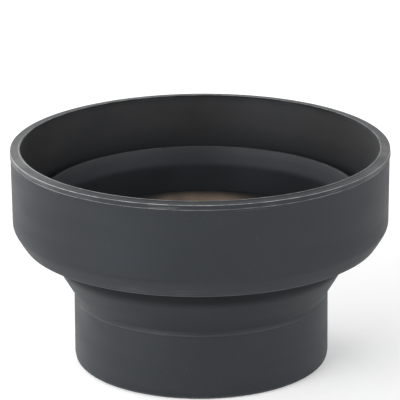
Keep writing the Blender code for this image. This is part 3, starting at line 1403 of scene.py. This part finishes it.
@dataclass
class MountRing:
    """The threaded ring that screws onto a lens: tube, seat flange and a true helix."""

    finish: AnodisedFinish
    bore: float = 24.2 * MM
    tube: float = 25.3 * MM
    root: float = 25.54 * MM
    crest: float = 26.0 * MM
    pitch: float = 0.75 * MM
    seat: float = 3.0 * MM
    relief: float = 0.25 * MM
    relief_clear: float = 0.1 * MM
    flange_top: float = 3.9 * MM
    rib_start: float = 1.2 * MM
    rib_count: int = 6
    rib_pitch: float = 0.8 * MM
    rib_depth: float = 0.16 * MM
    thread_step: float = 0.10 * MM
    thread_stop: float = 0.05 * MM
    flank: float = 1.25
    flat_root: float = 0.12
    lead_in: float = 0.4 * MM
    run_out: float = 0.3 * MM
    worn_rise: float = 0.4 * MM
    crest_wear: float = 0.7

    def outline(self) -> Outline:
        """The ring's section, with its thread still a plain cylinder at the root.

        Returns:
            The closed outline.
        """
        low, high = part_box("mount_ring")
        ribs = []
        for k in range(self.rib_count):
            height = low.z + self.rib_start + k * self.rib_pitch
            middle = height + self.rib_pitch / 2
            ribs.append(Corner(self.bore, height, fillet=0.05 * MM))
            ribs.append(Corner(self.bore + self.rib_depth, middle, fillet=0.05 * MM))
        return Outline(
            [
                Corner(self.bore, high.z, fillet=0.15 * MM, wear_and_highlight=0.5),
                Corner(self.tube, high.z, fillet=0.15 * MM, wear_and_highlight=0.5),
                Corner(self.tube, self.flange_top, fillet=0.05 * MM),
                Corner(high.x, self.flange_top, fillet=0.1 * MM, wear_and_highlight=0.3),
                Corner(high.x, self.seat, fillet=0.1 * MM, wear_and_highlight=0.6),
                Corner(self.crest + self.relief_clear, self.seat, fillet=0.04 * MM, wear_and_highlight=0.3),
                Corner(self.crest + self.relief_clear, self.seat + self.relief),
                Corner(self.root, self.seat + self.relief),
                Corner(self.root, low.z, fillet=0.05 * MM),
                Corner(self.bore, low.z, fillet=0.15 * MM, wear_and_highlight=0.4),
                *ribs,
            ],
            longest=self.thread_step,
        )

    def build(self, turner: Turner) -> Piece:
        """Turns the ring, cuts its helix, and mounts it.

        Args:
            turner: The lathe.

        Returns:
            The piece.
        """
        rows = self.outline().rows()
        angles, radii, heights = turner.grid(rows)
        low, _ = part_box("mount_ring")
        below_seat = heights < self.seat - self.thread_stop
        on_thread = np.isclose(radii, self.root, rtol=0.0, atol=1e-7) & below_seat
        phase = np.mod(heights / self.pitch - angles / (2 * math.pi), 1.0)
        ridge = np.clip(self.flank * (1 - np.abs(2 * phase - 1)) - self.flat_root, 0.0, 1.0)
        grown = np.clip((heights - low.z) / self.lead_in, 0.0, 1.0)
        left = np.clip((self.seat - heights) / self.run_out, 0.0, 1.0)
        rise = (self.crest - self.root) * ridge * grown * left * on_thread
        piece = turner.solid("mount_thread_ring", rows, angles, radii + rise, heights)
        wear_and_highlight = np.broadcast_to(np.array([row.wear_and_highlight for row in rows])[None, :], rise.shape)
        rubbed = np.maximum(wear_and_highlight, self.crest_wear * (rise > self.worn_rise))
        paint(piece.data, "wear_and_highlight", rubbed.ravel())
        dress(piece, self.finish.make())
        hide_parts("mount_ring")
        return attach(piece, Body.NECK.value)


@dataclass
class ClampRing:
    """The ring that clamps the rubber web, with two slots for a spanner."""

    finish: AnodisedFinish
    inner: float = 25.6 * MM
    slot_width: float = 2.4 * MM
    slot_depth: float = 0.8 * MM

    def outline(self) -> Outline:
        """The ring's section.

        Returns:
            The closed outline.
        """
        low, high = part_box("clamp_ring")
        return Outline(
            [
                Corner(self.inner, high.z, fillet=0.12 * MM, wear_and_highlight=0.5),
                Corner(high.x, high.z, fillet=0.15 * MM, wear_and_highlight=0.5),
                Corner(high.x, low.z, fillet=0.1 * MM),
                Corner(self.inner, low.z, fillet=0.1 * MM),
            ],
            longest=0.5 * MM,
        )

    def build(self, turner: Turner) -> Piece:
        """Turns the ring, mills its spanner slots, and mounts it.

        Args:
            turner: The lathe.

        Returns:
            The piece.
        """
        piece = turner.rigid("clamp_ring_metal", self.outline())
        _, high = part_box("clamp_ring")
        mill = self._mill(high)
        cut = piece.modifiers.new("slots", "BOOLEAN")
        cut.operation = "DIFFERENCE"
        cut.solver = "EXACT"
        cut.object = mill
        bpy.context.view_layer.update()
        graph = bpy.context.evaluated_depsgraph_get()
        mesh = bpy.data.meshes.new_from_object(piece.evaluated_get(graph))
        piece.modifiers.clear()
        piece.data = mesh
        bpy.data.objects.remove(mill)
        keep_rest(mesh)
        mesh.shade_smooth()
        mesh.set_sharp_from_angle(angle=math.radians(turner.sharp_angle))
        dress(piece, self.finish.make())
        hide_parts("clamp_ring")
        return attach(piece, Body.NECK.value)

    def _mill(self, high: Vector) -> Piece:
        """The bar that mills both slots in one pass.

        Args:
            high: The ring's highest corner.

        Returns:
            A hidden box, to be removed after the cut.
        """
        mesh = bpy.data.meshes.new("mill")
        tool = bmesh.new()
        bmesh.ops.create_cube(tool, size=1.0)
        size = Vector((3 * high.x, self.slot_width, 2 * self.slot_depth))
        bmesh.ops.scale(tool, vec=size, verts=tool.verts)
        bmesh.ops.translate(tool, vec=(0.0, 0.0, high.z), verts=tool.verts)
        tool.to_mesh(mesh)
        tool.free()
        mill = bpy.data.objects.new("mill", mesh)
        bpy.context.scene.collection.objects.link(mill)
        return mill


# ---------------------------------------------------------------- the studio


@dataclass(frozen=True)
class SoftBox:
    """One soft lamp that faces the hood.

    Attributes:
        name: The lamp's name.
        around: Its direction from the hood, in degrees from +X.
        watts: How strong it is.
        up: Its height above the horizon, in degrees.
        distance: How far away it hangs.
        side: The length of its sides.
        aim_height: The height of the point that it faces.
    """

    name: str
    around: float
    watts: float
    up: float = 22.0
    distance: float = 1.0
    side: float = 0.7
    aim_height: float = 0.03

    def hang(self) -> Piece:
        """Hangs the lamp.

        Returns:
            The lamp.
        """
        light = bpy.data.lights.new(self.name, "AREA")
        light.shape = "SQUARE"
        light.size = self.side
        light.energy = self.watts
        lamp = bpy.data.objects.new(self.name, light)
        bpy.context.scene.collection.objects.link(lamp)
        aim = Vector((0.0, 0.0, self.aim_height))
        around, up = math.radians(self.around), math.radians(self.up)
        level = math.cos(up)
        way = Vector((level * math.cos(around), level * math.sin(around), math.sin(up)))
        lamp.location = aim + self.distance * way
        lamp.rotation_euler = (-way).to_track_quat("-Z", "Y").to_euler()
        lamp.visible_camera = False
        return lamp


@dataclass
class Studio:
    """The pale sweep, the even room light and the soft lamps.

    Attributes:
        room_light: How bright the room is all round.
        floor_half: Half the floor's width.
        floor_gap: How far the floor lies below the foot edge.
        lamps: The soft lamps, all round the hood.
    """

    room_light: float = 0.05
    floor_half: float = 6.0
    floor_gap: float = 0.05 * MM
    lamps: tuple[SoftBox, ...] = (
        SoftBox("front_left_box", 225.0, 10.2),
        SoftBox("back_left_box", 135.0, 8.4),
        SoftBox("front_right_box", 315.0, 6.1),
        SoftBox("right_box", 0.0, 3.2),
        SoftBox("left_box", 180.0, 3.5),
        SoftBox("back_box", 90.0, 2.4),
        SoftBox("back_right_box", 45.0, 1.2),
    )

    def build(self) -> None:
        """Lays the floor, lights the room and hangs the lamps."""
        world = bpy.data.worlds.new("room")
        bpy.context.scene.world = world
        world.use_nodes = True
        background = world.node_tree.nodes["Background"]
        background.inputs["Color"].default_value = WHITE
        background.inputs["Strength"].default_value = self.room_light
        mesh = bpy.data.meshes.new("sweep")
        h, low = self.floor_half, -self.floor_gap
        corners = [(-h, -h, low), (h, -h, low), (h, h, low), (-h, h, low)]
        mesh.from_pydata(corners, [], [(0, 1, 2, 3)])
        floor = bpy.data.objects.new("sweep", mesh)
        floor.data.materials.append(SweepFinish().make())
        bpy.context.scene.collection.objects.link(floor)
        for lamp in self.lamps:
            lamp.hang()
        bpy.context.scene.view_settings.view_transform = "Standard"


@dataclass(frozen=True)
class MainCamera:
    """The camera, a long lens that looks down into the mouth.

    Attributes:
        distance: Level distance to the axis, in rim radii.
        rise: Height above the rim, in rim radii.
        down: How far it looks down, in degrees.
        roll: How far it leans about its own axis, in degrees.
        focal: Focal length in millimetres.
        sensor: The sensor's width in millimetres.
        rim_datum_drop: How far below the rim's top its height is measured from.
        aside: How far it stands to the right of the axis.
        nearest: Where its view begins.
        farthest: Where its view ends.
    """

    distance: float = 14.0
    rise: float = 4.307
    down: float = 18.19
    roll: float = -0.37
    focal: float = 250.4
    sensor: float = 36.0
    rim_datum_drop: float = 0.6 * MM
    aside: float = -0.11 * MM
    nearest: float = 0.01
    farthest: float = 50.0

    def place(self, datum: Datum) -> Piece:
        """Sets up the scene's camera.

        Args:
            datum: The hood's main places.

        Returns:
            The camera.
        """
        data = bpy.data.cameras.new("main_camera")
        data.lens = self.focal
        data.sensor_width = self.sensor
        data.clip_start = self.nearest
        data.clip_end = self.farthest
        camera = bpy.data.objects.new("main_camera", data)
        bpy.context.scene.collection.objects.link(camera)
        unit = datum.rim_radius
        height = datum.rim_top - self.rim_datum_drop + self.rise * unit
        tilt = Matrix.Rotation(math.radians(90.0 - self.down), 4, "X")
        lean = Matrix.Rotation(math.radians(self.roll), 4, "Z")
        spot = Matrix.Translation((self.aside, -self.distance * unit, height))
        camera.matrix_world = spot @ tilt @ lean
        bpy.context.scene.camera = camera
        return camera


def main() -> None:
    """Builds every piece in order, then the studio and the camera."""
    logging.basicConfig(level=logging.INFO, format="%(name)s: %(message)s")
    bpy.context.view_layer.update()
    datum = Datum.from_frame()
    turner = Turner()
    outer = RubberFinish("moulded_rubber")
    thin = RubberFinish("hinge_rubber")
    matte = RubberFinish("neck_hinge_rubber", gloss=0.33)
    metal = AnodisedFinish("black_anodised")
    parts = (
        NeckSleeve(datum, outer),
        RearFold(datum, matte),
        MiddleSleeve(datum, outer),
        FrontFold(datum, thin),
        FrontBarrel(datum, outer),
        MountRing(metal),
        ClampRing(metal),
    )
    for part in parts:
        piece = part.build(turner)
        LOG.info("%s: %d faces", piece.name, len(piece.data.polygons))
    Studio().build()
    MainCamera().place(datum)


if __name__ == "__main__":
    main()
